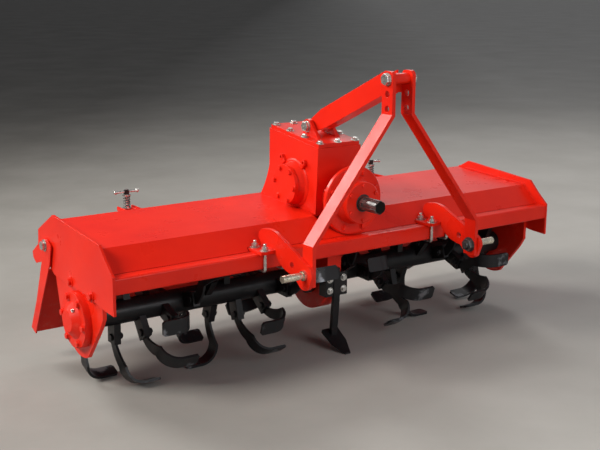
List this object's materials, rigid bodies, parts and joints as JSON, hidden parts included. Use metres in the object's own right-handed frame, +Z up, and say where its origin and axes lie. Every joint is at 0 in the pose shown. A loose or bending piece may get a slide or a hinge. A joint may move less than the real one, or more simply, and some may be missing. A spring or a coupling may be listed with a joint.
{
  "type": "rotary tiller",
  "caption": "Mounted rotary tiller with central gearbox, mast and lower hitch pins, a spiral of bent blades under a bent sheet deck, chisel and sprung trailing board.",
  "frame": {"origin": "on the ground at the middle of the machine's footprint", "axes": "+X along the rotor to the machine's left-hand side seen in travel, -Y forward to the tractor, +Z up"},
  "size_m": [1.808, 0.8256, 0.958],
  "materials": {
    "red_paint": "gloss",
    "black_paint": "semi-gloss",
    "zinc_yellow": "yellow zinc",
    "zinc": "zinc plated",
    "spring_steel": "dark",
    "shaft_steel": "oiled steel"
  },
  "bodies": {
    "frame": {"end_plate_left": "red_paint", "side_arm_left": "red_paint", "bearing_housing_left": "red_paint", "bearing_cap_left": "red_paint", "side_cover_left": "red_paint", "hitch_plate_left": "red_paint", "mast_bar_left": "red_paint", "rod_guide_left": "red_paint", "clamp_foot_left": "red_paint", "hitch_pin_left": "zinc_yellow", "u_bolts_left": "zinc", "hinge_bolt_left": "zinc", "end_plate_right": "red_paint", "side_arm_right": "red_paint", "bearing_housing_right": "red_paint", "bearing_cap_right": "red_paint", "side_cover_right": "red_paint", "hitch_plate_right": "red_paint", "mast_bar_right": "red_paint", "rod_guide_right": "red_paint", "clamp_foot_right": "red_paint", "hitch_pin_right": "zinc_yellow", "u_bolts_right": "zinc", "hinge_bolt_right": "zinc", "deck": "red_paint", "front_beam": "red_paint", "rear_rail": "red_paint", "gearbox_case": "red_paint", "gearbox_cover": "red_paint", "input_carrier": "red_paint", "lower_gear_case": "red_paint", "strut": "red_paint", "strut_lugs": "red_paint", "mast_crosshead": "red_paint", "lug_pin": "zinc", "mast_pin": "zinc", "chisel": "black_paint", "chisel_bracket": "black_paint"},
    "rotor": {"rotor_tube_left": "black_paint", "rotor_tube_right": "black_paint", "blades_left": "black_paint", "blades_right": "black_paint"},
    "input": {"pto_shaft": "shaft_steel"},
    "board": {"trailing_board": "red_paint"},
    "rod_left": {"spring_rod_left": "zinc", "adjust_spring_left": "spring_steel"},
    "rod_right": {"spring_rod_right": "zinc", "adjust_spring_right": "spring_steel"}
  },
  "joints": [
    {"name": "rotor_spin", "type": "hinge", "parent": "frame", "child": "rotor", "pos_m": [0, 0.0443, 0.23], "axis": [1, 0, 0], "continuous": true},
    {"name": "input_spin", "type": "hinge", "parent": "frame", "child": "input", "pos_m": [0, -0.2557, 0.527], "axis": [0, 1, 0], "continuous": true},
    {"name": "board_hinge", "type": "hinge", "parent": "frame", "child": "board", "pos_m": [0, 0.2533, 0.414], "axis": [1, 0, 0], "range_deg": [0, 30]},
    {"name": "rod_pivot_left", "type": "hinge", "parent": "board", "child": "rod_left", "pos_m": [0.526, 0.38621, 0.23467], "axis": [1, 0, 0], "range_deg": [-4, 1]},
    {"name": "rod_pivot_right", "type": "hinge", "parent": "board", "child": "rod_right", "pos_m": [-0.526, 0.38621, 0.23467], "axis": [1, 0, 0], "range_deg": [-4, 1]}
  ],
  "couplings": [
    {"joint": "input_spin", "follows": "rotor_spin", "ratio": 2.6},
    {"joint": "rod_pivot_left", "follows": "board_hinge", "ratio": -0.091},
    {"joint": "rod_pivot_right", "follows": "board_hinge", "ratio": -0.091}
  ]
}
